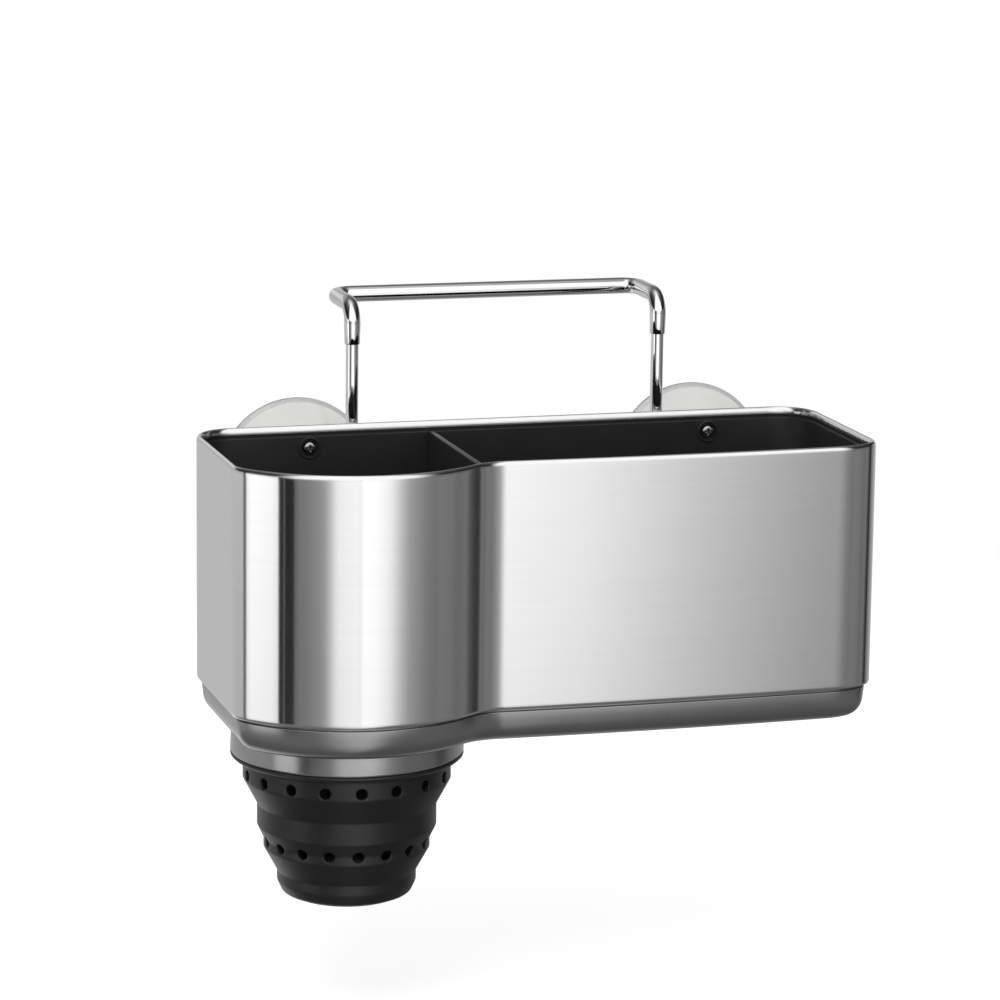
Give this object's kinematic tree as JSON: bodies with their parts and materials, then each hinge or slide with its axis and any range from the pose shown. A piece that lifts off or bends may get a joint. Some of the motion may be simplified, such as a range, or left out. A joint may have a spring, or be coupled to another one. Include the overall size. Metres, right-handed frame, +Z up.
{
  "type": "sink caddy",
  "caption": "Steel-sleeved sink caddy with a round brush tub, a long sponge well, a folding silicone drain cup and a sliding chrome hanger with suction cups.",
  "frame": {"origin": "on the wall plane, midway between the two suction cups' centres", "axes": "+X right seen from the front, along the caddy; +Y out of the back towards the wall; +Z up"},
  "size_m": [0.282, 0.1625, 0.2494],
  "materials": {
    "sleeve_steel": "stainless sheet, fine level brushing",
    "liner_plastic": "satin black moulding",
    "base_plastic": "satin dark grey moulding",
    "collar_plastic": "satin grey moulding",
    "silicone": "matt black silicone",
    "clear_vinyl": "clear soft vinyl",
    "polished_chrome": "mirror polish",
    "cap_rubber": "matt",
    "screw_steel": "dark passivated steel"
  },
  "bodies": {
    "caddy": {"steel_sleeve": "sleeve_steel", "inner_liner": "liner_plastic", "well_divider": "liner_plastic", "base_tray": "base_plastic", "collar_ring": "collar_plastic", "cup_retainer": "liner_plastic", "cup_bellows": "silicone", "rear_bracket_left": "liner_plastic", "rear_bracket_right": "liner_plastic", "rod_bush_left": "liner_plastic", "rod_bush_right": "liner_plastic", "suction_cup_left": "clear_vinyl", "suction_cup_right": "clear_vinyl", "bracket_screw_upper_left": "screw_steel", "bracket_screw_lower_left": "screw_steel", "bracket_screw_upper_right": "screw_steel", "bracket_screw_lower_right": "screw_steel", "base_screw_1": "screw_steel", "base_screw_2": "screw_steel", "base_screw_3": "screw_steel", "base_screw_4": "screw_steel"},
    "hanger": {"hanger_hoop": "polished_chrome", "hanger_rod_left": "polished_chrome", "hanger_rod_right": "polished_chrome", "rod_cap_left": "cap_rubber", "rod_cap_right": "cap_rubber"},
    "cup": {"cup_base": "silicone"}
  },
  "joints": [
    {"name": "hanger_height", "type": "slide", "parent": "caddy", "child": "hanger", "axis": [0, 0, 1], "range_m": [-0.037, 0.017]},
    {"name": "cup_collapse", "type": "slide", "parent": "caddy", "child": "cup", "axis": [0, 0, 1], "range_m": [0, 0.038], "deforming": ["cup_bellows"]}
  ]
}
